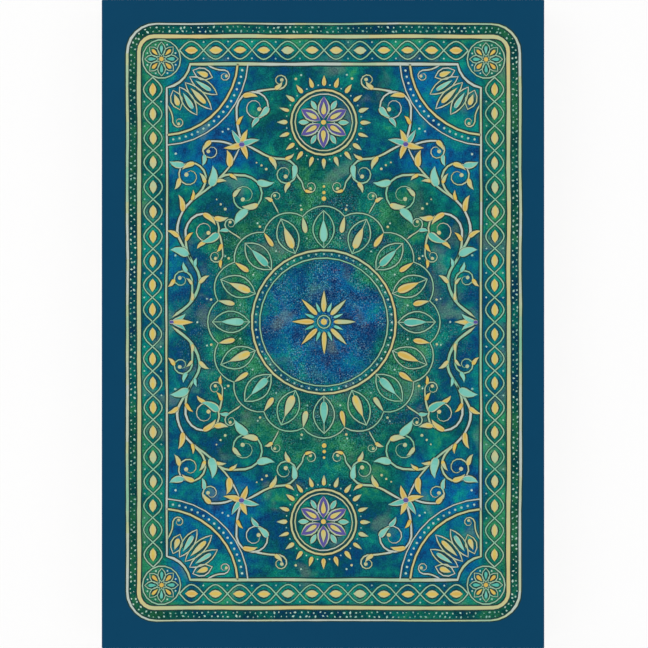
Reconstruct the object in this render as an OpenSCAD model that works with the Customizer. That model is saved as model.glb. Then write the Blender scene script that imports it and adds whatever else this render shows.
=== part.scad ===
// Oracle card deck: a squared stack of like cards that lies face down on a table.
// The origin is on the table under the middle of the deck. +Y runs from the foot of the cards
// to their head, +X across them and +Z up, so that the printed back of the top card looks along +Z.

/* [Card] */
// Trim width of a card
card_width = 95.25; // [60:0.05:110]
// Trim length of a card, from its foot to its head
card_length = 139.7; // [90:0.05:170]
// Thickness of the laminated card stock
card_thickness = 0.34; // [0.25:0.01:0.6]
// Radius that takes the point off each corner of the trim
corner_radius = 0.3; // [0.2:0.1:6]

/* [Deck] */
// Number of cards in the deck
card_count = 44; // [2:1:60]
// Air left between two cards that lie on each other
air_gap = 0.02; // [0.01:0.005:0.05]
// Most that a card is turned from square, in degrees to either side
stray_angle = 0.08; // [0:0.01:0.3]

/* [Hidden] */
// Height from one card to the next
card_pitch = card_thickness + air_gap;
// The corner that the deck was tapped square on: every card turns about the middle of its round
square_corner = [corner_radius - card_width / 2, corner_radius - card_length / 2];
// Turn between two strays that follow each other, so that no two neighbours lie alike
golden_angle = 137.5;
// Dark blue-green of the plain margin round the printed back
margin_colour = [0.06, 0.27, 0.39];
// Steps round a whole circle
$fn = 48;

function card_name(number) = str("card_", number < 10 ? "0" : "", number);

// Height of a card's face above the table, with the bottom card as number 1
function card_height(number) = (number - 1) * card_pitch;

// A card's turn from square: none on the bottom and top cards, most in the middle of the deck
function stray(number) =
    let (depth = 180 * (number - 1) / max(card_count - 1, 1))
    stray_angle * sin(depth) * sin(golden_angle * number);

// Trim outline of a card, square with its points rounded off
module card_outline() {
    square([card_width - 2 * corner_radius, card_length], center = true);
    square([card_width, card_length - 2 * corner_radius], center = true);
    for (side = [-1, 1], end = [-1, 1])
        translate([side * (card_width / 2 - corner_radius), end * (card_length / 2 - corner_radius)])
            circle(r = corner_radius);
}

// One cut card, lying face down with its middle over the origin
module card_blank() {
    linear_extrude(card_thickness) card_outline();
}

// A card at its own height in the deck, turned about the corner that the deck is squared on
module card(number) {
    color(margin_colour)
        translate([square_corner.x, square_corner.y, card_height(number)])
            rotate(stray(number))
                translate(-square_corner)
                    card_blank();
}

for (number = [1 : card_count])
    card(number);
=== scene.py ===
"""Prints and gilds a deck of oracle cards on the solids of the frame, and sets it on a white stage."""
import math
import random
from cmath import phase, polar, rect
from collections import namedtuple

import bmesh
import bpy
from mathutils import Color, Matrix, Vector, noise
from mathutils.geometry import interpolate_bezier


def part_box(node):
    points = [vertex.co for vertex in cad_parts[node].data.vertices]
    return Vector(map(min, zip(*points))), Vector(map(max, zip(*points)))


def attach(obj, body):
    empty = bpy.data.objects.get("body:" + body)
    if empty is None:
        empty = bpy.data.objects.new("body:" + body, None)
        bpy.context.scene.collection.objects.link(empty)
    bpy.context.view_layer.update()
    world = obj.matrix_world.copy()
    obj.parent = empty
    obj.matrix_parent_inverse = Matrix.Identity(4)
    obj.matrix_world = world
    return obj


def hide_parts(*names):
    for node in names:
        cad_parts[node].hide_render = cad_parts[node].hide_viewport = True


bl_info = {
    "name": "Oracle Card Deck",
    "version": (1, 0, 0),
    "blender": (4, 5, 0),
    "location": "View3D > Sidebar > Deck",
    "description": "Prints, gilds and stages a deck of oracle cards",
    "category": "Object",
}

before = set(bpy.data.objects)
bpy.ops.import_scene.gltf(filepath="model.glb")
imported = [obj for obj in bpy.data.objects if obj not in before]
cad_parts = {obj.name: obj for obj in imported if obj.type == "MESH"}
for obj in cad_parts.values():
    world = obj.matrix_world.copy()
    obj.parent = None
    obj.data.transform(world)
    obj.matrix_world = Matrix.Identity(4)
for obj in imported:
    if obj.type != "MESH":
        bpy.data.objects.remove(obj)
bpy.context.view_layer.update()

MM = 0.001
CARDS = sorted(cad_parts)
TOP_LOW, TOP_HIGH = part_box(CARDS[-1])
CARD_SIZE = TOP_HIGH - TOP_LOW

# The print map holds card coordinates, this many units to the metre, from the middle of the card
MAP_SCALE = 10.0
MAP_TO_MM = 1.0 / (MAP_SCALE * MM)

# Heights of the layers of ink above the card, which stay inside the air between two cards
FILL_LEVEL = 0.005 * MM
LINE_LEVEL = 0.008 * MM
CORE_LEVEL = 0.011 * MM
TOP_LEVEL = 0.014 * MM
WELD_DISTANCE = 0.001 * MM

# Inks: the settings whose colours each family runs through, and how many tones it has
INK_FAMILIES = {
    "gold": (("gold_deep", "gold", "gold", "gold_light", "line_cream"), 9),
    "rule": (("gold_light", "line_cream"), 8),
    "line": (("line_pale", "line_cream", "line", "line_green"), 10),
    "strand": (("line", "line_green"), 6),
    "leaf": (("turquoise", "mint"), 5),
    "violet": (("violet",), 1),
    "pearl": (("pearl", "pearl_dim"), 3),
    "shade": (("shade",), 1),
}


def number_tones(families):
    """The material slots of each ink's tones, numbered through all families."""
    slots = {}
    for family, (shades, tones) in families.items():
        first = sum(len(numbers) for numbers in slots.values())
        slots[family] = list(range(first, first + tones))
    return slots


INK_TONES = number_tones(INK_FAMILIES)

# Inks that lean to their last tones near the middle of the print and to their first far from it
LEANS = {"line": 0.3}
LEAN_NEAR = 20.0 * MM
LEAN_FAR = 45.0 * MM

# How a colour's value and the lightness that the eye sees go together
EYE_GAMMA = 2.2

# How inks lie across a broad stroke: borders as shares of its half width, and the ink between each two
BROAD = 0.4 * MM
NIBS = {
    "gold": ((-1.0, -0.5, 0.5, 1.0), ("rule", "gold", "rule")),
    "leaf": ((-1.0, -0.7, 0.7, 1.0), ("line", "leaf", "line")),
    "violet": ((-1.0, -0.75, 0.75, 1.0), ("line", "violet", "line")),
}

# How far along the print a tone changes, and how far and how much it wavers on the way
TONE_SPAN = 12.0 * MM
WAVER_SPAN = 1.7 * MM
WAVER = 0.22

# The longest piece of a rule, and how far a chord may leave its curve
RULE_STEP = 2.5 * MM
CHORD_SAG = 0.063 * MM

# The dark edge of a stroke is never wider than this share of half the stroke
HALO_SHARE = 1.5

# Leaves and petals longer than these have more chords
MIDDLE_LEAF = 2.4 * MM
LONG_LEAF = 3.3 * MM
LONG_PETAL = 5.0 * MM

# The steps in height that keep strokes which cross from lying in one plane
LAYER_STEP = 0.0004 * MM
LAYERS = 5

# Pen pressure: how much a stroke swells and thins, and over what length
PRESSURE = 0.22
PRESSURE_SPAN = 2.6 * MM

# Wobble of the drawing hand, slow and then quick: over what length, and how far
WOBBLES = ((11.0 * MM, 0.16 * MM), (1.3 * MM, 0.035 * MM))
WOBBLE_SEED = 7

# How each zone of the back shifts its wash: along the row of washes, in lightness and in dryness
ZONE_HUES = {"calm": -0.28, "green": 0.23, "side": -0.25, "band": 0.1, "flank": 0.2, "hem": 0.1,
             "foot": -0.16, "corner": -0.16, "border": -0.14}
ZONE_LIGHTS = {"band": 0.36, "calm": 0.1, "corner": 0.34, "side": 0.08, "hem": -0.34, "foot": -0.34}
ZONE_DRYNESS = {"side": 0.06, "calm": 0.03}

# Glitter, coarse and then fine: cells to the millimetre, and strength
GLITTER = ((2.3, 0.52), (4.2, 0.42))

# The sun on the face of a card, in millimetres: its disc, its ring and its rays
SUN_DISC = 11.5
SUN_RING = 14.0
SUN_RAYS = (17.0, 25.0)
SUN_RAY_COUNT = 16

# Step from one card's tone to the next one's, as a share that keeps like tones apart
GOLDEN_SHARE = 0.618

# Radius of the medallion's rim, as a share of its calm middle
RIM_SHARE = 1.12

# How leaves leave their stem, in degrees
LEAF_SLANT = 24.0
LEAF_BEND = 45.0

# Stems of one quarter, in millimetres and degrees from the middle of the print. A leaf has its share
# of the stem, the side that it grows on, length, width and ink. A scroll starts at a place with a
# heading, comes in on one side of an eye, and coils about it by turns to the left.
Leaf = namedtuple("Leaf", "share side span width ink")
Scroll = namedtuple("Scroll", "start heading eye radius entry turns inner pen leaves")

STEM = (32.7 + 0.9j, 28.3 + 4.6j, 26.7 + 9.6j, 29.2 + 14.4j, 31.6 + 19.6j, 29.6 + 25.0j,
        24.4 + 29.2j, 20.4 + 33.4j, 17.8 + 38.3j)
STEM_LEAVES = (
    Leaf(0.14, -1, 2.2, 0.7, "gold"), Leaf(0.22, 1, 2.8, 0.9, "gold"),
    Leaf(0.31, 1, 2.0, 0.7, "leaf"), Leaf(0.67, -1, 2.4, 0.8, "gold"),
    Leaf(0.78, 1, 2.4, 0.8, "gold"), Leaf(0.36, -1, 4.2, 1.8, "leaf"),
    Leaf(0.47, -1, 3.0, 1.0, "gold"), Leaf(0.6, -1, 3.8, 1.2, "gold"),
    Leaf(0.74, -1, 4.6, 1.8, "leaf"), Leaf(0.86, -1, 3.8, 1.3, "gold"))

SCROLLS = (
    Scroll(28.9 + 3.9j, 112, 30.6 + 9.2j, 2.3, 180, -1.4, 0.5, 0.42,
           (Leaf(0.24, -1, 2.0, 0.7, "gold"), Leaf(0.42, 1, 2.4, 1.0, "leaf"),
            Leaf(0.58, 1, 2.2, 0.8, "gold"))),
    Scroll(28.6 + 13.3j, 64, 25.5 + 19.8j, 4.3, 0, 1.65, 0.8, 0.46,
           (Leaf(0.16, 1, 2.6, 0.8, "gold"),
            Leaf(0.34, 1, 3.8, 1.2, "gold"), Leaf(0.44, -1, 3.2, 1.1, "gold"),
            Leaf(0.53, 1, 4.2, 1.8, "leaf"), Leaf(0.66, -1, 2.6, 0.9, "gold"))),
    Scroll(29.9 + 24.5j, 124, 28.9 + 31.4j, 3.5, 180, -1.55, 0.6, 0.46,
           (Leaf(0.2, -1, 2.6, 0.8, "gold"),
            Leaf(0.36, -1, 3.2, 1.1, "gold"), Leaf(0.46, 1, 3.4, 1.5, "leaf"),
            Leaf(0.58, 1, 2.8, 1.0, "gold"))),
    Scroll(23.2 + 30.4j, 136, 17.0 + 27.2j, 4.4, 90, 1.65, 0.8, 0.46,
           (Leaf(0.12, 1, 2.2, 0.8, "gold"),
            Leaf(0.3, -1, 4.0, 1.5, "leaf"), Leaf(0.42, 1, 3.6, 1.2, "gold"),
            Leaf(0.5, -1, 4.2, 1.8, "leaf"), Leaf(0.64, 1, 2.6, 0.9, "gold"))),
    Scroll(17.4 + 38.4j, 200, 8.4 + 32.0j, 3.1, 90, 1.5, 0.6, 0.46,
           (Leaf(0.16, 1, 3.2, 1.1, "gold"),
            Leaf(0.24, -1, 2.4, 0.8, "gold"), Leaf(0.34, 1, 3.2, 1.4, "leaf"),
            Leaf(0.52, -1, 2.6, 0.9, "gold"))),
    Scroll(17.7 + 38.8j, 72, 14.8 + 46.2j, 4.0, 0, 1.65, 0.8, 0.46,
           (Leaf(0.12, 1, 2.4, 0.8, "gold"),
            Leaf(0.3, 1, 3.4, 1.1, "gold"), Leaf(0.5, 1, 3.2, 1.4, "leaf"),
            Leaf(0.64, -1, 2.6, 1.1, "leaf"))),
    Scroll(18.3 + 37.6j, 24, 24.2 + 36.8j, 2.2, 90, -1.4, 0.5, 0.42,
           (Leaf(0.3, -1, 2.6, 1.0, "gold"), Leaf(0.5, 1, 2.6, 1.1, "leaf"))),
    Scroll(15.3 + 49.5j, 172, 9.4 + 52.0j, 1.8, 270, -1.35, 0.4, 0.4,
           (Leaf(0.3, -1, 2.4, 0.9, "gold"),)),
    Scroll(5.9 + 32.3j, 264, 2.9 + 29.2j, 1.6, 0, -1.35, 0.4, 0.36,
           (Leaf(0.42, -1, 2.0, 0.7, "gold"),)),
    Scroll(22.6 + 19.5j, 256, 23.4 + 14.2j, 1.6, 180, 1.35, 0.4, 0.36,
           (Leaf(0.2, 1, 2.2, 0.8, "gold"), Leaf(0.42, -1, 2.0, 0.7, "gold"))),
    Scroll(33.6 + 46.8j, 244, 31.2 + 43.1j, 1.3, 0, -1.35, 0.35, 0.34, ()),
    Scroll(25.1 + 55.3j, 206, 21.4 + 52.9j, 1.3, 90, 1.35, 0.35, 0.34, ()),
    Scroll(17.8 + 17.8j, 45, 20.0 + 21.2j, 1.4, 315, 1.35, 0.4, 0.34,
           (Leaf(0.32, -1, 2.2, 0.9, "leaf"),)),
    Scroll(9.7 + 23.3j, 68, 10.2 + 27.0j, 1.2, 340, 1.3, 0.35, 0.32,
           (Leaf(0.36, -1, 2.0, 0.8, "gold"),)),
)

# Where stems spring from together: the place, and leaves with their headings, lengths and inks
BUNCHES = (
    (17.7 + 38.3j, ((-118, 3.4, "gold"), (-20, 4.0, "gold"), (48, 3.8, "leaf"), (103, 3.4, "gold"),
                    (158, 4.0, "leaf"))),
)

# Loose beads: place, radius and ink
BEADS = (
    (21.2 + 24.4j, 0.34, "rule"), (22.2 + 25.4j, 0.26, "rule"), (23.1 + 26.4j, 0.2, "rule"),
    (12.4 + 33.0j, 0.32, "rule"), (13.4 + 33.8j, 0.26, "rule"), (14.5 + 34.4j, 0.2, "rule"),
    (6.0 + 52.4j, 0.3, "rule"), (4.9 + 53.2j, 0.24, "pearl"), (20.6 + 41.6j, 0.26, "pearl"),
    (21.8 + 41.0j, 0.22, "pearl"), (32.0 + 14.4j, 0.28, "pearl"), (31.9 + 36.2j, 0.28, "pearl"),
)


# Properties

def length(name, description, millimetres):
    """A length property with a default in millimetres."""
    return bpy.props.FloatProperty(
        name=name, description=description, default=millimetres * MM,
        min=0.0, precision=5, subtype="DISTANCE", unit="LENGTH")


def half_size(name, description, across, along):
    """Half the width and half the length of a frame, in millimetres."""
    return bpy.props.FloatVectorProperty(
        name=name, description=description, default=(across * MM, along * MM),
        size=2, precision=5, subtype="XYZ_LENGTH", unit="LENGTH")


def colour(name, description, red, green, blue):
    """A colour property with a default in 8-bit display levels."""
    shown = Color((red / 255, green / 255, blue / 255))
    return bpy.props.FloatVectorProperty(
        name=name, description=description, default=shown.from_srgb_to_scene_linear(),
        size=3, min=0.0, max=1.0, subtype="COLOR")


def amount(name, description, default, **options):
    """A number that isn't negative."""
    return bpy.props.FloatProperty(
        name=name, description=description, default=default, min=0.0, **options)


class StockSettings(bpy.types.PropertyGroup):
    """The card stock and what is printed on its face."""
    corner: length("Corner", "Radius that takes the point off each corner", 0.3)
    rim: length("Rim", "Rounding of the cut rims", 0.035)
    core: colour("Core", "Paper that shows at the cut edges", 252, 247, 236)
    face_paper: colour("Face paper", "Margin of the card's face", 236, 229, 212)
    face_rule: colour("Face rule", "Rule round the picture of the face", 168, 132, 72)
    face_night: colour("Face dark wash", "Dark end of the wash on the face", 34, 58, 104)
    face_day: colour("Face light wash", "Light end of the wash on the face", 96, 158, 160)


class BorderSettings(bpy.types.PropertyGroup):
    """Rules and bands round the back print."""
    drift: half_size("Drift", "How far the print sits off the middle of the trim", 0.18, 0.42)
    outer: half_size("Outer rule", "Half the size of the thin outer rule", 42.28, 64.2)
    outer_corner: length("Outer corner", "Corner radius of the outer rule", 6.3)
    inner: half_size("Inner rule", "Half the size of the bold inner rule", 39.78, 61.5)
    inner_corner: length("Inner corner", "Corner radius of the inner rule", 3.3)
    field: half_size("Field rule", "Half the size of the rule round the field", 33.82, 55.52)
    scoop: length("Scoop", "Radius of the hollow corners of the field rule", 6.3)
    knot: length("Knot", "Radius of the rosette in each corner of the braid", 4.1)
    knot_gap: length("Knot gap", "From a rosette to the middle of the bold rule", 0.75)
    swing: length("Swing", "How far the braid's strands swing to either side", 1.95)
    dot_pitch: length("Dot pitch", "Distance between the dots of one row", 1.25)
    dot: length("Dot", "Radius of a dot between the rules", 0.2)


class FieldSettings(bpy.types.PropertyGroup):
    """Ornaments inside the field rule."""
    calm: length("Calm", "Radius of the calm middle of the medallion", 13.8)
    medallion: length("Medallion", "Radius to the tips of the medallion's petals", 24.0)
    roundel: length("Roundel", "Radius of the roundels above and below", 7.0)
    roundel_place: length("Roundel place", "Distance of a roundel from the middle", 43.0)
    fan: length("Fan", "Radius of the fan in each corner", 16.4)


class PenSettings(bpy.types.PropertyGroup):
    """Widths of the gilded strokes."""
    vein: length("Vein", "Width of the veins of petals", 0.19)
    fine: length("Fine", "Width of a fine line", 0.25)
    rule: length("Rule", "Width of the outer rule where it is thin", 0.31)
    field_rule: length("Field rule", "Width of the field's rule where it is thin", 0.4)
    rule_swell: length("Rule swell", "How much broader these rules are on two of their sides", 0.21)
    middle: length("Middle", "Width of a middling line", 0.4)
    stem: length("Stem", "Width of the main stem where it starts", 0.56)
    bold: length("Bold", "Width of a bold line", 0.76)
    halo: length("Halo", "Dark edge on each side of a stroke", 0.3)


class InkSettings(bpy.types.PropertyGroup):
    """Inks of the ornament."""
    gold: colour("Gold", "Gold of filled shapes", 218, 191, 96)
    gold_light: colour("Light gold", "Thin gold", 210, 196, 134)
    gold_deep: colour("Deep gold", "Thick gold", 214, 178, 86)
    line: colour("Line", "Gold of fine lines", 160, 196, 166)
    line_green: colour("Green line", "Fine lines that take on green", 136, 195, 160)
    line_cream: colour("Cream line", "Fine lines that take on cream", 184, 198, 154)
    line_pale: colour("Pale line", "Fine lines that take on white", 190, 202, 192)
    turquoise: colour("Turquoise", "Leaves", 88, 186, 170)
    mint: colour("Mint", "Pale leaves", 134, 206, 190)
    violet: colour("Violet", "Accents", 92, 84, 156)
    pearl: colour("Pearl", "Dots", 180, 212, 196)
    pearl_dim: colour("Dim pearl", "Dots that took little ink", 138, 184, 170)
    shade: colour("Shade", "Dark edge of the strokes", 8, 54, 54)
    sheen: amount("Sheen", "How metallic the inks are", 0.2, max=1.0, subtype="FACTOR")


class GroundSettings(bpy.types.PropertyGroup):
    """Washes under the ornament."""
    margin: colour("Margin", "Plain margin", 7, 68, 101)
    navy: colour("Navy", "Darkest wash", 20, 66, 124)
    blue: colour("Blue", "Blue wash", 0, 86, 138)
    petrol: colour("Petrol", "Wash between blue and green", 2, 95, 108)
    teal: colour("Teal", "Blue-green wash", 2, 108, 96)
    green: colour("Green", "Green wash", 34, 110, 74)
    sand: colour("Sand", "Dry patches of the washes", 122, 146, 124)
    frost: colour("Frost", "Cool glitter", 140, 196, 204)
    copper: colour("Copper", "Warm glitter", 176, 140, 136)


class StageSettings(bpy.types.PropertyGroup):
    """Floor, light and camera."""
    floor: colour("Floor", "Paper that the deck lies on", 250, 250, 250)
    floor_reach: length("Floor size", "Side of the floor", 8000)
    horizon: amount("Horizon", "Light of the walls", 1.0)
    zenith: amount("Zenith", "Light of the ceiling", 0.06)
    lamp_power: amount("Lamp power", "Power of one soft box", 3.0, unit="POWER")
    lamp_size: length("Lamp size", "Width of a soft box", 800)
    lamp_tilt: amount("Lamp tilt", "Height of the soft boxes above the floor, as an angle",
                      math.radians(52.0), subtype="ANGLE")
    lens: amount("Lens", "Focal length in millimetres on a 36 mm sensor", 200.0)


GROUPS = {
    "stock": StockSettings, "border": BorderSettings, "field": FieldSettings, "pens": PenSettings,
    "inks": InkSettings, "ground": GroundSettings, "stage": StageSettings}


class DeckSettings(bpy.types.PropertyGroup):
    """All settings of the deck, by group."""
    __annotations__ = {name: bpy.props.PointerProperty(type=group) for name, group in GROUPS.items()}


# Shader wiring

def feed(tree, socket, value):
    """Links a wire to a socket, or sets the socket to a plain value."""
    if isinstance(value, Wire):
        tree.links.new(value.socket, socket)
    elif socket.type == "RGBA":
        socket.default_value = (*value[:3], 1.0)
    else:
        socket.default_value = value


def lay_stops(ramp, stops):
    """Puts a ramp's stops in place, each a position and a colour."""
    while len(ramp.elements) < len(stops):
        ramp.elements.new(1.0)
    for element, (position, shade) in zip(ramp.elements, stops):
        element.position = position
        element.color = (*shade[:3], 1.0)


class Wire:
    """A shader socket that takes part in expressions, each of which adds its nodes."""

    def __init__(self, tree, socket=None):
        self.tree = tree
        self.socket = socket

    def node(self, kind, settings=None, sockets=None, output=0):
        """Adds a node, sets it up, feeds its sockets and returns the wire from one output."""
        made = self.tree.nodes.new("ShaderNode" + kind)
        for key, value in (settings or {}).items():
            if key == "stops":
                lay_stops(made.color_ramp, value)
            else:
                setattr(made, key, value)
        for key, value in (sockets or {}).items():
            feed(self.tree, made.inputs[key], value)
        return Wire(self.tree, made.outputs[output])

    def math(self, operation, *terms):
        """A Math node on these terms."""
        return self.node("Math", {"operation": operation}, dict(enumerate(terms)))

    def __add__(self, other):
        return self.math("ADD", self, other)

    __radd__ = __add__

    def __sub__(self, other):
        return self.math("SUBTRACT", self, other)

    def __rsub__(self, other):
        return self.math("SUBTRACT", other, self)

    def __mul__(self, other):
        return self.math("MULTIPLY", self, other)

    __rmul__ = __mul__

    def __pow__(self, other):
        return self.math("POWER", self, other)

    def __abs__(self):
        return self.math("ABSOLUTE", self)

    def over(self, floor):
        """This value, or floor where it is lower."""
        return self.math("MAXIMUM", self, floor)

    def under(self, ceiling):
        """This value, or ceiling where it is higher."""
        return self.math("MINIMUM", self, ceiling)

    def rise(self, low, high):
        """Climbs smoothly from 0 at low to 1 at high."""
        return self.node(
            "MapRange", {"interpolation_type": "SMOOTHSTEP"},
            {"Value": self, "From Min": low, "From Max": high})

    def step(self, at, soft):
        """Climbs from 0 to 1 across a soft edge."""
        return self.rise(at - soft, at + soft)

    def blend(self, start, end):
        """A colour between start and end, with this value as the share of end."""
        return self.node("Mix", {"data_type": "RGBA"}, {0: self, 6: start, 7: end}, 2)

    def shift(self, offset):
        """This vector moved by a vector."""
        return self.node("VectorMath", {"operation": "ADD"}, {0: self, 1: offset})

    def scaled(self, factor):
        """This vector or colour times a value."""
        return self.node("VectorMath", {"operation": "SCALE"}, {0: self, "Scale": factor})

    def grained(self, amount):
        """This colour made lighter or darker by an amount that looks alike on every colour."""
        seen = self.node("Gamma", None, {0: self, 1: 1.0 / EYE_GAMMA}).shift(amount)
        seen = seen.node("VectorMath", {"operation": "MAXIMUM"}, {0: seen, 1: (0.0, 0.0, 0.0)})
        return seen.node("Gamma", None, {0: seen, 1: EYE_GAMMA})

    def cloud(self, scale, detail=2.0, roughness=0.5, output=0):
        """Soft noise over this vector."""
        return self.node(
            "TexNoise", {"noise_dimensions": "2D"},
            {"Vector": self, "Scale": scale, "Detail": detail, "Roughness": roughness}, output)

    def other(self, output):
        """The wire from another output of the same node."""
        return Wire(self.tree, self.socket.node.outputs[output])

    def parts(self):
        """The X and Y of this vector."""
        across = self.node("SeparateXYZ", None, {0: self})
        return across, across.other(1)


def new_finish(name, values):
    """A material with its shader's plain values set, its shader node and a wire to build from."""
    material = bpy.data.materials.new(name)
    material.use_nodes = True
    shader = material.node_tree.nodes["Principled BSDF"]
    for key, value in values.items():
        feed(material.node_tree, shader.inputs[key], value)
    return material, shader, Wire(material.node_tree)


def print_point(start):
    """The print map's place in millimetres from the middle of the card."""
    place = start.node("UVMap", {"uv_map": "print"})
    return place.scaled(MAP_TO_MM)


def distance(across, along):
    """Distance from the middle."""
    return (across ** 2.0 + along ** 2.0) ** 0.5


def frame_distance(across, along, half, corner=0.0):
    """Distance in millimetres from a rounded frame of a size in metres, below zero inside it."""
    side = abs(across) - (half[0] - corner) / MM
    end = abs(along) - (half[1] - corner) / MM
    bend = distance(side.over(0.0), end.over(0.0))
    return bend + side.over(end).under(0.0) - corner / MM


def zoned(value, zones, shares):
    """A value plus its share of each zone."""
    for name, share in shares.items():
        value = value + zones[name] * share
    return value


# Finishes

def paper_tooth(start, place, shader):
    """Gives a print the faint swell of the board and the tooth of its paper."""
    swell = place.cloud(0.045, 1.0)
    tooth = place.cloud(3.0, 2.0)
    height = swell * 6.0 + tooth * 0.06
    bump = start.node("Bump", None, {"Strength": 0.12, "Distance": 0.02 * MM, "Height": height})
    feed(start.tree, shader.inputs["Normal"], bump)


def wash_zones(border, place, wet):
    """Zones of the back by name, each 1 inside and 0 outside, with soft borders in millimetres."""
    across, along = place.parts()
    wide, high = [abs(part) for part in wet.parts()]
    reach = distance(wide, high)
    to_outer = frame_distance(across, along, border.outer, border.outer_corner)
    to_inner = frame_distance(across, along, border.inner, border.inner_corner)
    to_field = frame_distance(across, along, border.field)
    band = to_field.rise(-0.5, 1.5)
    return {
        "margin": to_outer.step(0.0, 0.06),
        "border": to_inner.step(0.0, 0.06),
        "hem": to_inner.rise(-1.5, -0.3),
        "band": band,
        "foot": band - to_field.rise(1.0, 3.6),
        "flank": abs(across).rise(32.5, 35.5),
        "corner": wide.rise(12.0, 20.0) * high.rise(24.0, 34.0) * (1.0 - band),
        "side": wide.rise(19.0, 27.0) * (1.0 - high.rise(12.0, 26.0)),
        "green": reach.rise(13.0, 18.0) - reach.rise(26.0, 40.0),
        "calm": 1.0 - reach.rise(9.0, 16.0),
        "heart": 1.0 - reach.rise(20.0, 36.0),
        "outskirts": (reach + wide * 0.5).rise(26.0, 44.0),
    }


def strew_glitter(paint, place, thick, slow, ground):
    """A paint with specks of cool glitter, as thick as asked, and warm ones where a slow cloud is low."""
    for scale, strength in GLITTER:
        cells = place.node(
            "TexVoronoi", {"voronoi_dimensions": "2D"}, {"Vector": place, "Scale": scale})
        pick, warm = cells.other("Color").parts()
        speck = (1.0 - cells.rise(0.1, 0.36)) * pick.rise(0.58, 0.95) * thick
        glitter = (warm - slow * 2.0).rise(0.7, 0.9).blend(ground.frost, ground.copper)
        paint = (speck * strength).blend(paint, glitter)
    return paint


def back_print(deck):
    """Watercolour washes of the back: plain margin, dark band and the mottled field."""
    ground = deck.ground
    drift = deck.border.drift
    material, shader, start = new_finish(
        "back_print", {"Roughness": 0.42, "Specular IOR Level": 0.05})
    place = print_point(start).shift((-drift[0] / MM, -drift[1] / MM, 0.0))

    # Wet edges: the washes are read through a slow wander of the place
    wander = place.cloud(0.09, 1.0, 0.5, 1).shift((-0.5, -0.5, -0.5)).scaled(8.0)
    wet = place.shift(wander)
    zones = wash_zones(deck.border, place, wet)
    slow = wet.cloud(0.075, 2.0, 0.5) - 0.5
    pool = wet.shift((31.0, 17.0, 0.0)).cloud(0.16, 3.0, 0.55) - 0.5
    swarm = wet.shift((57.0, -9.0, 0.0)).cloud(0.22, 2.0, 0.5).rise(0.36, 0.62)
    mottle = place.cloud(0.75, 2.0, 0.6) - 0.5
    grain = place.cloud(3.2, 2.0, 0.6) - 0.5

    unrest = 0.7 - zones["band"] * 0.2 - zones["side"] * 0.3
    hue = zoned(0.55 + slow * unrest + pool * 0.9 + mottle * 0.6, zones, ZONE_HUES)
    light = zoned(0.88 + pool * 2.4 + mottle, zones, ZONE_LIGHTS).over(0.64)
    dust = grain * (0.5 + swarm * 0.32) * (1.0 - zones["outskirts"] * 0.58)
    wash = start.node("ValToRGB", {"stops": [
        (0.02, ground.navy), (0.26, ground.blue), (0.5, ground.petrol),
        (0.72, ground.teal), (0.96, ground.green)]}, {0: hue})
    wash = wash.scaled(light).grained(dust)
    dry = zoned(wet.shift((-23.0, 41.0, 0.0)).cloud(0.13, 2.0, 0.5), zones, ZONE_DRYNESS)
    dry = dry.rise(0.6, 0.78) * (0.3 + grain * 0.8)
    field = dry.blend(wash, ground.sand)
    field = strew_glitter(field, place, zones["heart"] * (0.22 + swarm), slow, ground)

    dotted = wash.scaled(0.6)
    margin = (0.97 + grain * 0.06 + pool * 0.06).blend((0.0, 0.0, 0.0), ground.margin)
    paint = zones["border"].blend(field, zones["margin"].blend(dotted, margin))
    feed(start.tree, shader.inputs["Base Color"], paint)
    paper_tooth(start, place, shader)
    return material


def sun_shape(across, along):
    """A plain sun: 1 in its disc, on its ring and in its rays, and 0 between them."""
    reach = distance(across, along)
    turn = across.math("ARCTAN2", across, along)
    ray = turn.math("COSINE", turn * SUN_RAY_COUNT).rise(0.2, 0.4)
    inner, outer = SUN_RAYS
    rays = ray * (reach.step(inner, 0.1) - reach.step(outer, 0.1))
    circle = 1.0 - abs(reach - SUN_RING).step(0.4, 0.05)
    return circle.over(1.0 - reach.step(SUN_DISC, 0.1)).over(rays)


def face_print(deck):
    """The face: pale margin, a rule and a plain wash whose tones change from card to card."""
    stock = deck.stock
    material, shader, start = new_finish(
        "face_print", {"Roughness": 0.42, "Specular IOR Level": 0.3})
    place = print_point(start)
    across, along = place.parts()
    edge = frame_distance(across, along, deck.border.inner, deck.border.outer_corner)
    tone = start.node("Attribute", {"attribute_name": "tone"}, None, 2)
    cloud = place.shift((3.0, 11.0, 0.0)).cloud(0.05, 4.0, 0.6)
    dawn = (along * 0.008 + cloud * 0.8 + tone * 0.5 - 0.2).rise(0.0, 1.0)
    picture = dawn.blend(stock.face_night, stock.face_day)
    picture = sun_shape(across, along).blend(picture, stock.face_rule)
    rule = 1.0 - abs(edge - 1.2).step(0.25, 0.05)
    paint = edge.step(0.0, 0.05).blend(picture, rule.blend(stock.face_paper, stock.face_rule))
    feed(start.tree, shader.inputs["Base Color"], paint)
    paper_tooth(start, place, shader)
    return material


def cut_edge(deck):
    """The paper core at the cut edges, uneven in tone, with ink that the blade drew down from the back and
    painted shade of the gaps between cards along the top rim.
    """
    material, shader, start = new_finish(
        "cut_edge", {"Roughness": 0.85, "Specular IOR Level": 0.2})
    place = start.node("TexCoord", None, None, 3)
    fibre = start.node(
        "TexNoise", None, {"Vector": place, "Scale": 900.0, "Detail": 3.0, "Roughness": 0.6})
    tone = start.node("Attribute", {"attribute_name": "tone"}, None, 2)
    height = start.node("Attribute", {"attribute_name": "height"}, None, 2)
    paper = (0.86 + fibre * 0.14 + tone * 0.08).under(1.0).blend((0.0, 0.0, 0.0), deck.stock.core)
    # Along the top rim the paper takes the margin's blue: partly ink drawn down from the back, partly
    # painted shade of the gap to the next card
    ink_and_gap_shade = height.rise(0.8, 1.0) * 0.5
    feed(start.tree, shader.inputs["Base Color"], ink_and_gap_shade.blend(paper, deck.ground.margin))
    return material


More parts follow.
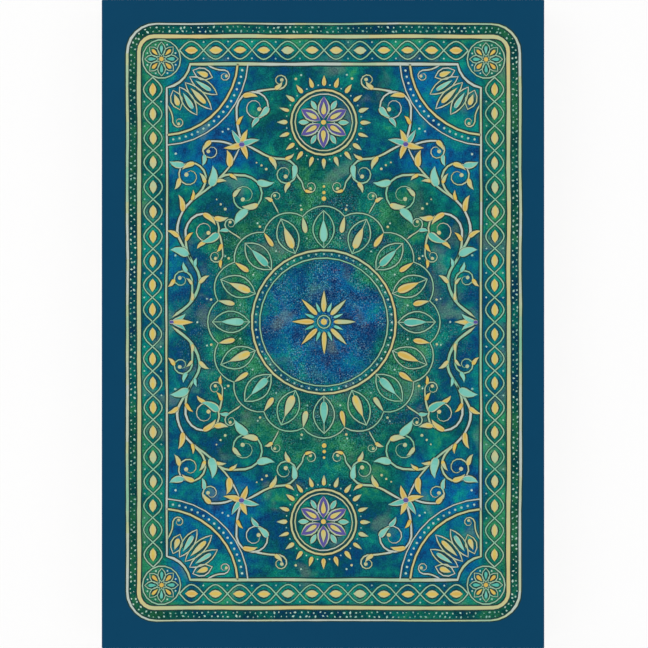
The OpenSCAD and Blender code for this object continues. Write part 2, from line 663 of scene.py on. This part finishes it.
def ink_finishes(deck):
    """One plain material for each tone of each ink, in the order of INK_TONES."""
    finishes = []
    for family, (shades, tones) in INK_FAMILIES.items():
        stops = [Vector(getattr(deck.inks, shade)) for shade in shades]
        for number in range(tones):
            place = number / max(tones - 1, 1) * (len(stops) - 1)
            below = min(int(place), len(stops) - 1)
            above = min(below + 1, len(stops) - 1)
            finishes.append(new_finish(f"{family}_ink_{number + 1}", {
                "Base Color": stops[below].lerp(stops[above], place - below),
                "Metallic": 0.0 if family == "shade" else deck.inks.sheen,
                "Roughness": 0.45, "Specular IOR Level": 0.2})[0])
    return finishes


# Paths in the plane of the print, as lists of complex numbers

def chord_turn(radius):
    """The turn of a chord, in degrees, that leaves its circle by the allowed sag."""
    return math.degrees(math.sqrt(8.0 * CHORD_SAG / radius))


def arc(centre, radius, start, end, steps=None):
    """Points round a centre from one angle to another, in degrees."""
    steps = steps or math.ceil(abs(end - start) / chord_turn(radius))
    turn = (end - start) / steps
    return [centre + rect(radius, math.radians(start + turn * i)) for i in range(steps + 1)]


def ring(centre, radius):
    """Points once round a circle, the first not repeated."""
    return arc(centre, radius, 0.0, 360.0)[:-1]


def spokes(count, radius=1.0):
    """Yields the number of each spoke, its direction, and the direction halfway to the next."""
    for number in range(count):
        turn = math.tau * number / count
        between = math.tau * (number + 0.5) / count
        yield number, rect(radius, turn), rect(radius, between)


def sweep(first, first_handle, last_handle, last, steps):
    """Points along a Bezier curve."""
    knots = [Vector((p.real, p.imag, 0.0)) for p in (first, first_handle, last_handle, last)]
    return [complex(p.x, p.y) for p in interpolate_bezier(*knots, steps + 1)]


def vine(start, heading, span, bend, steps):
    """Points along a spine that bends more and more to one side, closer together at its start."""
    path = [start]
    for i in range(steps):
        share = i / steps
        turn = heading + bend * (0.2 + share) * share
        step = span * (((i + 1) / steps) ** 1.5 - share ** 1.5)
        path.append(path[-1] + rect(step, math.radians(turn)))
    return path


def through(knots, steps):
    """Points along a smooth curve through knots."""
    ends = [2 * knots[0] - knots[1], *knots, 2 * knots[-1] - knots[-2]]
    path = []
    for before, here, there, after in zip(ends, ends[1:], ends[2:], ends[3:]):
        first, last = here + (there - before) / 6, there - (after - here) / 6
        path += sweep(here, first, last, there, steps)[:-1]
    return path + [knots[-1]]


def scroll(start, heading, eye, radius, entry, turns, inner):
    """Points along a stem that swings in beside an eye and coils about it."""
    touch = eye + rect(radius, math.radians(entry))
    way = rect(1.0, math.radians(entry + math.copysign(90.0, turns)))
    reach = abs(touch - start) * 0.45
    path = sweep(start, start + rect(reach, math.radians(heading)), touch - way * reach, touch, 6)
    whole = 360.0 * abs(turns)
    turned = chord_turn(radius)
    while turned < whole:
        coil = radius + (inner - radius) * (turned / whole) ** 0.8
        path.append(eye + rect(coil, math.radians(entry + math.copysign(turned, turns))))
        turned += chord_turn(coil)
    return path


def four_way(quarter):
    """A closed path from its part in the first quadrant, which runs from the right to the top."""
    return (quarter + [-p.conjugate() for p in reversed(quarter)]
            + [-p for p in quarter] + [p.conjugate() for p in reversed(quarter)])


def finely(path, step):
    """A closed path with points added so that no two are further apart than step."""
    dense = []
    for here, there in zip(path, path[1:] + path[:1]):
        pieces = max(1, math.ceil(abs(there - here) / step))
        dense += [here + (there - here) * i / pieces for i in range(pieces)]
    return dense


# Half widths along a stroke, each as a function of the share of its length

def even(width):
    """A line of one width."""
    return lambda t: width / 2


def lens(width):
    """Widest in the middle, with a point at both ends."""
    return lambda t: width / 2 * max(0.0, math.sin(math.pi * t)) ** 0.8


def disc(radius):
    """Round, on a spine as long as the disc is wide."""
    return lambda t: radius * math.sqrt(max(0.0, 1.0 - (2.0 * t - 1.0) ** 2))


def drop(width):
    """Round at the start and drawn out to a point, on a spine whose points start close together."""
    return lambda t: width / 2 * max(0.0, math.sin(math.pi * t ** 0.9)) ** 0.85


def broad_nib(path, upright, level):
    """A pen that is one width on the upright runs of a closed path and another on its level runs."""
    count = len(path)

    def half(t):
        row = round(t * count) % count
        way = path[(row + 1) % count] - path[row - 1]
        return (level + (upright - level) * abs(way.imag) / abs(way)) / 2
    return half


def tail(width, fall):
    """Full at the start and thinning to a point, the faster the greater the fall."""
    return lambda t: 0.0 if t in (0.0, 1.0) else width / 2 * (1.0 - t) ** fall


class Quill:
    """Draws inked strokes as low ridges in one mesh, a millimetre or less wide and microns high."""

    def __init__(self, name, finishes, halo):
        bpy.ops.object.select_all(action="DESELECT")
        bpy.ops.object.add(type="MESH")
        self.piece = bpy.context.object
        self.piece.name = name
        self.halo = halo
        self.strokes = 0
        for finish in finishes:
            self.piece.data.materials.append(finish)
        bpy.ops.object.mode_set(mode="EDIT")

    def tint(self, faces, family, fade=0.0):
        """Inks faces, each given with its share of the stroke, in tones that wander and may fade."""
        tones = INK_TONES[family]
        for face, share in faces:
            spot = face.calc_center_median()
            spot.z = 0.0
            drift = noise.noise(spot / TONE_SPAN) + WAVER * noise.noise(spot / WAVER_SPAN)
            far = (spot.xy.length - LEAN_NEAR) / (LEAN_FAR - LEAN_NEAR)
            lean = LEANS.get(family, 0.0) * (1.0 - 2.0 * min(max(far, 0.0), 1.0))
            place = min(max(0.5 + drift + lean + fade * (share - 0.5), 0.0), 0.999)
            face.material_index = tones[int(place * len(tones))]

    def stroke(self, path, profile, family, level=LINE_LEVEL, closed=False, fade=0.0):
        """Bends a narrow grid along a path: a flat inked top between dark slopes."""
        self.strokes += 1
        level += LAYER_STEP * (self.strokes % LAYERS)
        count = len(path)
        rows = count + 1 if closed else count
        borders, inks = (-1.0, 1.0), (family,)
        if profile(0.5) > BROAD:
            borders, inks = NIBS.get(family, (borders, inks))
        inks = ("shade", *inks, "shade")
        lanes = len(inks) + 1
        bpy.ops.mesh.primitive_grid_add(
            x_subdivisions=rows - 1, y_subdivisions=lanes - 1, size=1.0)
        shape = bmesh.from_edit_mesh(self.piece.data)
        knots = sorted(
            (v for v in shape.verts if v.select), key=lambda v: (round(v.co.y, 3), v.co.x))
        inked = [[] for ink in inks]
        for face in shape.faces:
            if face.select:
                spot = face.calc_center_median()
                inked[int((spot.y + 0.5) * len(inks))].append((face, spot.x + 0.5))
        for row in range(rows):
            here = path[row % count]
            before = path[(row - 1) % count] if closed or row else here
            after = path[(row + 1) % count] if closed or row < count - 1 else here
            aside = 1j * (after - before) / abs(after - before)
            swell = noise.noise(Vector((here.real, here.imag, 0.0)) / PRESSURE_SPAN)
            half = profile(row / (rows - 1)) * (1.0 + PRESSURE * swell)
            rim = half + min(self.halo, half * HALO_SHARE)
            for lane, reach in enumerate((-rim, *(half * border for border in borders), rim)):
                spot = here + aside * reach
                height = level if 0 < lane < lanes - 1 else 0.0
                knots[lane * rows + row].co = (spot.real, spot.imag, height)
        for faces, ink in zip(inked, inks):
            self.tint(faces, ink, fade)

    def dot(self, centre, radius, family, sides=5, level=CORE_LEVEL, turn=0.0, stretch=1.0):
        """A low cone, drawn out by stretch along its turn."""
        bpy.ops.mesh.primitive_cone_add(
            vertices=sides, radius1=radius, radius2=0.0, depth=level, end_fill_type="NOTHING",
            location=(centre.real, centre.imag, level / 2), rotation=(0.0, 0.0, turn),
            scale=(stretch, 1.0, 1.0))
        shape = bmesh.from_edit_mesh(self.piece.data)
        self.tint([(face, 0.5) for face in shape.faces if face.select], family)

    def circle(self, centre, radius, pen, family):
        """A line once round a circle."""
        self.stroke(ring(centre, radius), even(pen), family, closed=True)

    def bead(self, centre, radius, family):
        """A flat round bead over what it lies on."""
        spine = [centre + radius * (i / 3 - 1) for i in range(7)]
        self.stroke(spine, disc(radius), family, TOP_LEVEL)

    def leaf(self, base, heading, span, bend, width, family):
        """A brushed leaf, fat near its base, on a spine that bends to one side."""
        steps = 6 if span > LONG_LEAF else 5 if span > MIDDLE_LEAF else 4
        spine = vine(base, heading, span, bend, steps)
        self.stroke(spine, drop(width), family, CORE_LEVEL, fade=0.7)

    def drop(self, base, tip, width, family):
        """A straight drop, fat near its base."""
        span, heading = polar(tip - base)
        self.leaf(base, math.degrees(heading), span, 0.0, width, family)

    def petal(self, base, tip, width, family):
        """A pointed petal."""
        steps = 5 if abs(tip - base) > LONG_LEAF else 4
        spine = [base + (tip - base) * i / steps for i in range(steps + 1)]
        self.stroke(spine, lens(width), family, FILL_LEVEL)

    def outline(self, base, tip, width, pen, family):
        """The line round a pointed petal."""
        axis = tip - base
        steps = 7 if abs(axis) > LONG_PETAL else 4
        aside = 1j * axis / abs(axis)
        bulge = lens(width)
        right = [base + axis * i / steps - aside * bulge(i / steps) for i in range(steps)]
        left = [tip - axis * i / steps + aside * bulge(i / steps) for i in range(steps)]
        self.stroke(right + left, even(pen), family, closed=True)

    def finish(self, mirror=(False, False)):
        """Welds the strokes, mirrors them across X and Y where asked, and returns the piece."""
        bpy.ops.mesh.select_all(action="SELECT")
        bpy.ops.mesh.remove_doubles(threshold=WELD_DISTANCE)
        bpy.ops.object.mode_set(mode="OBJECT")
        if any(mirror):
            copy = self.piece.modifiers.new("quarters", "MIRROR")
            copy.use_axis = (*mirror, False)
            copy.use_mirror_merge = False
            bpy.ops.object.modifier_apply(modifier=copy.name)
        return self.piece


# Ornaments

def corner_knot(border):
    """The middle of the rosette in the upper right corner, which touches the bold rule."""
    reach = border.knot + border.knot_gap
    return complex(border.inner[0] - reach, border.inner[1] - reach)


def field_arc(deck, radius, steps=None):
    """An arc about the corner rosette, from the side of the field rule to its end."""
    knot = corner_knot(deck.border)
    half = deck.border.field
    side = math.degrees(math.acos((knot.real - half[0]) / radius))
    end = math.degrees(math.asin((knot.imag - half[1]) / radius))
    return arc(knot, radius, 180.0 + side, 180.0 + end, steps)


def draw_rules(quill, deck):
    """The thin and the bold rule of the border, and the hollow-cornered rule of the field."""
    border = deck.border
    pens = deck.pens
    for half, corner, upright, level, family in (
            (border.outer, border.outer_corner, pens.rule + pens.rule_swell, pens.rule, "line"),
            (border.inner, border.inner_corner, pens.bold, pens.bold, "rule")):
        centre = complex(half[0] - corner, half[1] - corner)
        path = finely(four_way(arc(centre, corner, 0.0, 90.0)), RULE_STEP)
        quill.stroke(path, broad_nib(path, upright, level), family, closed=True)
    path = finely(four_way(field_arc(deck, border.scoop)), RULE_STEP)
    nib = broad_nib(path, pens.field_rule, pens.field_rule + pens.rule_swell)
    quill.stroke(path, nib, "line", closed=True)


def draw_braid(quill, deck):
    """Two strands that cross over and over, with a drop in each eye, for one quarter."""
    border = deck.border
    knot = corner_knot(border)
    middle = complex(border.inner[0] + border.field[0], border.inner[1] + border.field[1]) / 2
    steps = 6
    pinch = 0.07
    drop_start = 0.23
    drop_span = 0.54
    pearl_share = 0.92
    for along, aside, offset, off, corner, eyes in (
            (1, 1j, middle.imag * 1j, middle.imag - knot.imag, knot.real, 6),
            (1j, 1, middle.real, middle.real - knot.real, knot.imag, 10)):
        end = corner - math.sqrt(border.knot ** 2 - off ** 2) - deck.pens.fine
        eye = end / eyes
        for side in (1, -1):
            strand = []
            for i in range(eyes * steps + 1):
                turn = i / steps + pinch * math.sin(math.tau * i / steps)
                swing = side * border.swing * math.sin(math.pi * turn)
                strand.append(offset + along * eye * turn + aside * swing)
            quill.stroke(strand, even(deck.pens.fine), "strand")
        for number in range(eyes):
            start = offset + along * eye * (number + drop_start)
            spine = [start + along * eye * drop_span * i / 4 for i in range(5)]
            quill.stroke(spine, lens(1.5 * MM), "gold", CORE_LEVEL)
            for side in (1, -1):
                if number:
                    swing = side * border.swing * pearl_share
                    spot = offset + along * eye * number + aside * swing
                    quill.dot(spot, 0.22 * MM, "pearl", 4)
    draw_rosette(quill, knot, border.knot, deck.pens)


def draw_rosette(quill, centre, radius, pens):
    """A ringed flower of eight outlined petals."""
    quill.circle(centre, radius, pens.fine, "strand")
    for number, way, between in spokes(8, radius):
        family = "gold" if number % 2 else "leaf"
        quill.outline(centre + way * 0.16, centre + way * 0.88, radius * 0.42, pens.fine * 0.8, "strand")
        quill.drop(centre + way * 0.7, centre + way * 0.28, radius * 0.18, family)
        quill.dot(centre + between * 0.8, 0.2 * MM, "pearl")
    quill.dot(centre, radius * 0.13, "gold", 8)


def draw_star(quill, deck):
    """A star in a calm disc, ringed by pearls."""
    calm = deck.field.calm
    pens = deck.pens
    for number, way, between in spokes(8, calm):
        quill.drop(way * 0.15, way * 0.5, calm * 0.075, "gold")
        quill.drop(between * 0.16, between * 0.33, calm * 0.045, "leaf")
    quill.circle(0, calm * 0.1, pens.fine, "strand")
    quill.dot(0, calm * 0.05, "gold", 8)
    quill.circle(0, calm, pens.fine, "strand")
    for number, way, between in spokes(56, calm * 1.06):
        quill.dot(way, 0.24 * MM, "pearl")
    quill.circle(0, calm * RIM_SHARE, pens.middle, "rule")


def draw_wreath(quill, deck):
    """A wreath of petals round the star, under a scalloped line."""
    pens = deck.pens
    petals = 16
    start = deck.field.calm * RIM_SHARE * 1.03
    tip = deck.field.medallion
    for number, way, between in spokes(petals):
        quill.outline(way * start, way * tip, 4.6 * MM, pens.fine, "strand")
        vein = [way * (start + (tip - start) * i / 2) for i in range(3)]
        quill.stroke(vein, even(pens.vein), "strand", FILL_LEVEL)
        family = "gold" if number % 2 else "leaf"
        quill.drop(way * (start + 1.2 * MM), way * (tip - 1.9 * MM), 1.7 * MM, family)
        quill.drop(between * (start + 3.6 * MM), between * (start + 7.2 * MM), 1.1 * MM, "gold")
        quill.dot(between * (start + 2.4 * MM), 0.22 * MM, "pearl")
    scallop = []
    steps = petals * 8
    for i in range(steps):
        turn = math.tau * i / steps
        lift = abs(math.cos(petals * turn / 2))
        scallop.append(rect(tip - 0.8 * MM + 1.8 * MM * lift ** 0.8, turn))
    quill.stroke(scallop, even(pens.fine), "strand", closed=True)
    for number, way, between in spokes(petals):
        quill.dot(between * (tip + 0.7 * MM), 0.3 * MM, "rule")
        quill.dot(between * (tip + 1.6 * MM), 0.22 * MM, "pearl")


def draw_roundel(quill, deck):
    """A compass flower in a ring, with rays about it, for the upper half."""
    field = deck.field
    pens = deck.pens
    centre = complex(0.0, field.roundel_place)
    radius = field.roundel
    quill.circle(centre, radius, pens.middle, "rule")
    quill.circle(centre, radius * 0.88, pens.fine, "line")
    for number, way, between in spokes(6, radius):
        quill.petal(centre + between * 0.1, centre + between * 0.8, radius * 0.36, "violet")
        quill.drop(centre + between * 0.24, centre + between * 0.64, radius * 0.14, "gold")
        quill.petal(centre + way * 0.44, centre + way * 0.78, radius * 0.16, "leaf")
        quill.dot(centre + way * 0.33, 0.2 * MM, "pearl")
    quill.dot(centre, radius * 0.08, "gold", 8)
    base = radius + 0.8 * MM
    for number, way, between in spokes(20):
        quill.drop(centre + way * base, centre + way * (base + 2.3 * MM), 0.9 * MM, "gold")
        quill.dot(centre + between * (base + 0.3 * MM), 0.18 * MM, "pearl")
    link = field.medallion + 2.6 * MM
    for step, size in enumerate((0.5, 0.38, 0.28)):
        quill.dot(complex(0.0, link + step * 1.3 * MM), size * MM, "gold", 8)


def draw_fan(quill, deck):
    """A palmette that opens from the corner rosette under two arcs, for one quarter."""
    border = deck.border
    pens = deck.pens
    knot = corner_knot(border)
    reach = deck.field.fan
    for number, share in enumerate((0.76, 0.93, 1.0, 0.93, 0.76)):
        way = rect(1.0, math.radians(200.0 + 12.5 * number))
        base = knot + way * (border.scoop + 0.9 * MM)
        tip = knot + way * (reach - 1.1 * MM) * share
        quill.outline(base, tip, 2.5 * MM, pens.fine, "line")
        axis = tip - base
        quill.drop(base + axis * 0.78, base + axis * 0.2, 1.1 * MM, "leaf" if number % 2 else "gold")
    quill.stroke(field_arc(deck, reach), even(pens.middle), "rule")
    quill.stroke(field_arc(deck, reach + 2.2 * MM), even(pens.fine), "line")
    beads = field_arc(deck, reach + 1.1 * MM, 18)
    for spot in beads[1:-1]:
        quill.dot(spot, 0.28 * MM, "pearl")


def draw_leaves(quill, path, leaves):
    """Leaves that leave a stem at a slant and bend away from it."""
    for leaf in leaves:
        row = round(leaf.share * (len(path) - 1))
        way = path[row + 1] - path[row - 1]
        turn = math.degrees(phase(way)) + leaf.side * LEAF_SLANT
        bend = leaf.side * LEAF_BEND
        quill.leaf(path[row], turn, leaf.span * MM, bend, leaf.width * MM, leaf.ink)


def draw_scrolls(quill, deck):
    """A waving stem with scrolls and leaves round the medallion, for one quarter."""
    stem = through([knot * MM for knot in STEM], 4)
    quill.stroke(stem, tail(deck.pens.stem, 0.25), "line")
    draw_leaves(quill, stem, STEM_LEAVES)
    for item in SCROLLS:
        path = scroll(item.start * MM, item.heading, item.eye * MM, item.radius * MM, item.entry,
                      item.turns, item.inner * MM)
        quill.stroke(path, tail(item.pen * MM, 0.55), "line")
        quill.dot(path[-1], item.pen * MM, "rule", 8)
        draw_leaves(quill, path, item.leaves)
    for spot, leaves in BUNCHES:
        for heading, span, family in leaves:
            quill.leaf(spot * MM, heading, span * MM, 18.0, 1.3 * MM, family)
        quill.bead(spot * MM, 0.62 * MM, "violet")
    for spot, radius, family in BEADS:
        quill.dot(spot * MM, radius * MM, family)


def draw_buds(quill, deck):
    """A bud on each side of the medallion, where the stems of the quarters meet."""
    for side in (1, -1):
        foot = complex(deck.border.field[0] - 1.1 * MM, 0.0) * side
        heading = 90.0 + 90.0 * side
        for turn in (1, -1):
            quill.leaf(foot, heading + 16.0 * turn, 3.6 * MM, 34.0 * turn, 1.1 * MM, "leaf")
        quill.leaf(foot, heading, 4.6 * MM, 0.0, 1.2 * MM, "gold")
        quill.bead(foot, 0.5 * MM, "violet")
        quill.dot(foot - 5.5 * MM * side, 0.24 * MM, "pearl")


def draw_border_dots(quill, deck):
    """Two staggered rows of small hand-set dots between the outer and the inner rule."""
    border = deck.border
    draw = random.Random(7)
    gap = Vector(border.outer) - Vector(border.inner)
    for row, share in enumerate((0.39, 0.7)):
        half = [border.inner[i] + gap[i] * share for i in (0, 1)]
        corner = border.inner_corner + (border.outer_corner - border.inner_corner) * share
        centre = complex(half[0] - corner, half[1] - corner)
        path = finely(four_way(arc(centre, corner, 0.0, 90.0)), 0.2 * MM)
        lengths = [0.0]
        for here, there in zip(path, path[1:] + path[:1]):
            lengths.append(lengths[-1] + abs(there - here))
        count = round(lengths[-1] / border.dot_pitch)
        spot = 0
        for number in range(count):
            target = lengths[-1] * (number + 0.5 * row) / count
            while lengths[spot + 1] < target:
                spot += 1
            along = path[(spot + 1) % len(path)] - path[spot]
            wobble = complex(draw.uniform(-0.3, 0.3), draw.uniform(-0.13, 0.13)) * MM
            place = path[spot] + wobble * along / abs(along)
            quill.dot(place, border.dot * draw.uniform(0.55, 1.25), "pearl", 4,
                      turn=draw.uniform(0.0, math.pi), stretch=draw.uniform(1.0, 1.7))


def draw_flecks(quill, deck):
    """Flecks of glitter, thick in the calm middle and thinner round it."""
    draw = random.Random(11)
    flecks = 120
    calm_flecks = 70
    for number in range(flecks):
        share = draw.random()
        far = 0.96 * math.sqrt(share) if number < calm_flecks else 1.0 + 1.3 * share
        reach = deck.field.calm * far
        spot = rect(reach, draw.uniform(0.0, math.tau))
        family = draw.choice(("pearl", "line", "leaf"))
        quill.dot(spot, draw.uniform(0.05, 0.11) * MM, family, 3, FILL_LEVEL, draw.uniform(0.0, 2.0))


# Pieces

def card_place(name):
    """Where a card of the frame lies: a matrix from a card about the origin to its place."""
    low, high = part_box(name)
    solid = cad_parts[name].data
    side = max((p for p in solid.polygons if p.normal.x > 0.9), key=lambda p: p.area)
    turn = math.atan2(side.normal.y, side.normal.x)
    middle = (low + high) / 2
    return Matrix.Translation((middle.x, middle.y, low.z)) @ Matrix.Rotation(turn, 4, "Z")


def model_card(deck):
    """One card about the origin with its back up: a rounded sheet with eased rims."""
    stock = deck.stock
    bpy.ops.object.select_all(action="DESELECT")
    bpy.ops.mesh.primitive_plane_add(size=1.0)
    card = bpy.context.object
    bpy.ops.object.mode_set(mode="EDIT")
    bpy.ops.transform.resize(value=(CARD_SIZE.x, CARD_SIZE.y, 1.0))
    bpy.ops.mesh.bevel(offset=stock.corner, segments=6, affect="VERTICES")
    bpy.ops.mesh.select_all(action="SELECT")
    bpy.ops.mesh.extrude_region_move(TRANSFORM_OT_translate={"value": (0.0, 0.0, CARD_SIZE.z)})
    bpy.ops.mesh.select_all(action="SELECT")
    bpy.ops.mesh.normals_make_consistent(inside=False)
    bpy.ops.mesh.select_mode(type="EDGE")
    bpy.ops.mesh.select_all(action="DESELECT")
    shape = bmesh.from_edit_mesh(card.data)
    for edge in shape.edges:
        low, high = edge.verts
        edge.select_set(abs(low.co.z - high.co.z) < CARD_SIZE.z / 2)
    bmesh.update_edit_mesh(card.data)
    bpy.ops.mesh.bevel(offset=stock.rim, segments=2, affect="EDGES")
    bpy.ops.object.mode_set(mode="OBJECT")

    for finish in (back_print(deck), face_print(deck), cut_edge(deck)):
        card.data.materials.append(finish)
    for face in card.data.polygons:
        up = face.normal.z
        face.material_index = 0 if up > 0.5 else 1 if up < -0.5 else 2
    for layer in list(card.data.uv_layers):
        card.data.uv_layers.remove(layer)
    sheet = card.data.uv_layers.new(name="print")
    for loop in card.data.loops:
        spot = card.data.vertices[loop.vertex_index].co
        sheet.uv[loop.index].vector = (spot.x * MAP_SCALE, spot.y * MAP_SCALE)
    height = card.data.attributes.new("height", "FLOAT", "POINT")
    height.data.foreach_set("value", [point.co.z / CARD_SIZE.z for point in card.data.vertices])
    return card


def model_gilding(deck):
    """The whole ornament of one back, on top of a card that lies about the origin."""
    finishes = ink_finishes(deck)
    halo = deck.pens.halo
    whole = Quill("gilding", finishes, halo)
    for draw in (draw_rules, draw_star, draw_wreath, draw_buds, draw_border_dots, draw_flecks):
        draw(whole, deck)
    parts = [whole.finish()]
    upper = Quill("roundels", finishes, halo)
    draw_roundel(upper, deck)
    parts.append(upper.finish((False, True)))
    quarter = Quill("quarters", finishes, halo)
    for draw in (draw_braid, draw_fan, draw_scrolls):
        draw(quarter, deck)
    parts.append(quarter.finish((True, True)))
    bpy.ops.object.select_all(action="DESELECT")
    for part in parts:
        part.select_set(True)
    gilding = parts[0]
    bpy.context.view_layer.objects.active = gilding
    bpy.ops.object.join()
    noise.seed_set(WOBBLE_SEED)
    for point in gilding.data.vertices:
        wobbles = [noise.noise_vector(point.co / span) * far for span, far in WOBBLES]
        point.co.xy += sum(wobbles, Vector()).xy
    gilding.data.transform(Matrix.Translation((*deck.border.drift, CARD_SIZE.z)))
    return gilding


def deal(master, kind, replace):
    """Lays a copy of a master on every card of the frame, and drops the master."""
    for number, name in enumerate(CARDS, 1):
        piece = bpy.data.objects.new(f"{kind}_{number:02d}", master.data.copy())
        bpy.context.collection.objects.link(piece)
        piece.data.transform(card_place(name))
        tone = piece.data.attributes.new("tone", "FLOAT", "POINT")
        share = (number * GOLDEN_SHARE) % 1.0
        tone.data.foreach_set("value", [share] * len(piece.data.vertices))
        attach(piece, name)
        if replace:
            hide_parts(name)
    bpy.data.objects.remove(master)


# Stage

def lay_floor(stage):
    """A wide floor that looks white to the eye and still takes a soft shadow."""
    bpy.ops.object.select_all(action="DESELECT")
    bpy.ops.mesh.primitive_plane_add(size=stage.floor_reach)
    floor = bpy.context.object
    floor.name = "floor"
    material, shader, start = new_finish(
        "floor_paper", {"Base Color": stage.floor, "Roughness": 0.9, "Specular IOR Level": 0.0})
    seen = start.node("LightPath", None, None, "Is Camera Ray")
    seen = (seen + seen.other("Is Glossy Ray") + seen.other("Is Transmission Ray")).under(1.0)
    glow = start.node("Emission", None, {"Color": (1.0, 1.0, 1.0), "Strength": 1.0})
    lit = Wire(start.tree, shader.outputs[0])

    # Near the deck the floor glows less, so that a faint shadow shows
    place = start.node("TexCoord", None, None, 3)
    away = start.node("VectorMath", {"operation": "LENGTH"}, {0: place}, 1)
    share = seen * (0.84 + away.rise(0.06, 0.3) * 0.16)
    mixed = start.node("MixShader", None, {0: share, 1: lit, 2: glow})
    surface = start.tree.nodes["Material Output"].inputs["Surface"]
    feed(start.tree, surface, mixed)
    floor.data.materials.append(material)


def light_room(scene, stage):
    """Pale walls under a dim ceiling, so that nothing bright is mirrored straight up."""
    world = bpy.data.worlds.new("room")
    scene.world = world
    world.use_nodes = True
    start = Wire(world.node_tree)
    height = start.node("SeparateXYZ", None, {0: start.node("TexCoord")}, 2)
    strength = stage.horizon + (stage.zenith - stage.horizon) * height.rise(0.06, 0.4)
    background = world.node_tree.nodes["Background"]
    feed(world.node_tree, background.inputs["Strength"], strength)
    feed(world.node_tree, background.inputs["Color"], (1.0, 1.0, 1.0))


def hang_lamps(stage):
    """Four soft boxes round the deck, a metre from it, the first a little stronger than the rest."""
    first_turn = 135.0
    tilt = stage.lamp_tilt
    for number, share in enumerate((1.3, 0.9, 0.9, 0.9)):
        turn = math.radians(first_turn + 90.0 * number)
        away = Vector((math.cos(turn) * math.cos(tilt), math.sin(turn) * math.cos(tilt), math.sin(tilt)))
        bpy.ops.object.light_add(type="AREA", location=away)
        lamp = bpy.context.object
        lamp.name = f"soft_box_{number + 1}"
        lamp.data.shape = "DISK"
        lamp.data.size = stage.lamp_size
        lamp.data.energy = stage.lamp_power * share
        lamp.rotation_euler = away.to_track_quat("Z", "Y").to_euler()


def set_camera(scene, stage):
    """Looks straight down, a pixel to the right of the top card's middle."""
    sensor = 36.0

    # The card's length just overfills the picture's height, both in pixels
    picture = 648
    card_length = 649
    pixel = CARD_SIZE.y / card_length
    middle = (TOP_LOW + TOP_HIGH) / 2
    height = TOP_HIGH.z + pixel * picture * stage.lens / sensor
    bpy.ops.object.camera_add(location=(middle.x + pixel, middle.y, height), rotation=(0.0, 0.0, 0.0))
    camera = bpy.context.object
    camera.data.sensor_width = sensor
    camera.data.lens = stage.lens
    scene.camera = camera
    scene.view_settings.view_transform = "Standard"


# Operators and panel

class DECK_OT_printed_cards(bpy.types.Operator):
    """Model the printed cards"""
    bl_idname = "deck.printed_cards"
    bl_label = "Printed Cards"

    def execute(self, context):
        deal(model_card(context.scene.deck), "printed_card", True)
        return {"FINISHED"}


class DECK_OT_gilding(bpy.types.Operator):
    """Draw the gilding on the back of every card"""
    bl_idname = "deck.gilding"
    bl_label = "Gilding"

    def execute(self, context):
        deal(model_gilding(context.scene.deck), "gilding", False)
        return {"FINISHED"}


class DECK_OT_stage(bpy.types.Operator):
    """Set up the floor, the light and the camera"""
    bl_idname = "deck.stage"
    bl_label = "Stage"

    def execute(self, context):
        stage = context.scene.deck.stage
        lay_floor(stage)
        light_room(context.scene, stage)
        hang_lamps(stage)
        set_camera(context.scene, stage)
        return {"FINISHED"}


OPERATORS = (DECK_OT_printed_cards, DECK_OT_gilding, DECK_OT_stage)


class DECK_PT_sidebar(bpy.types.Panel):
    """Buttons and settings of the deck"""
    bl_label = "Oracle Card Deck"
    bl_idname = "DECK_PT_sidebar"
    bl_space_type = "VIEW_3D"
    bl_region_type = "UI"
    bl_category = "Deck"

    def draw(self, context):
        for operator in OPERATORS:
            self.layout.operator(operator.bl_idname)
        deck = context.scene.deck
        for group in GROUPS:
            box = self.layout.box()
            box.label(text=group.title())
            settings = getattr(deck, group)
            for name in settings.__annotations__:
                box.prop(settings, name)


CLASSES = (*GROUPS.values(), DeckSettings, *OPERATORS, DECK_PT_sidebar)


def register():
    """Adds the classes and the scene's settings."""
    for item in CLASSES:
        bpy.utils.register_class(item)
    bpy.types.Scene.deck = bpy.props.PointerProperty(type=DeckSettings)


def unregister():
    """Takes them away again."""
    del bpy.types.Scene.deck
    for item in reversed(CLASSES):
        bpy.utils.unregister_class(item)


def main():
    """Builds the deck and its stage."""
    register()
    bpy.ops.deck.printed_cards()
    bpy.ops.deck.gilding()
    bpy.ops.deck.stage()


if __name__ == "__main__":
    main()
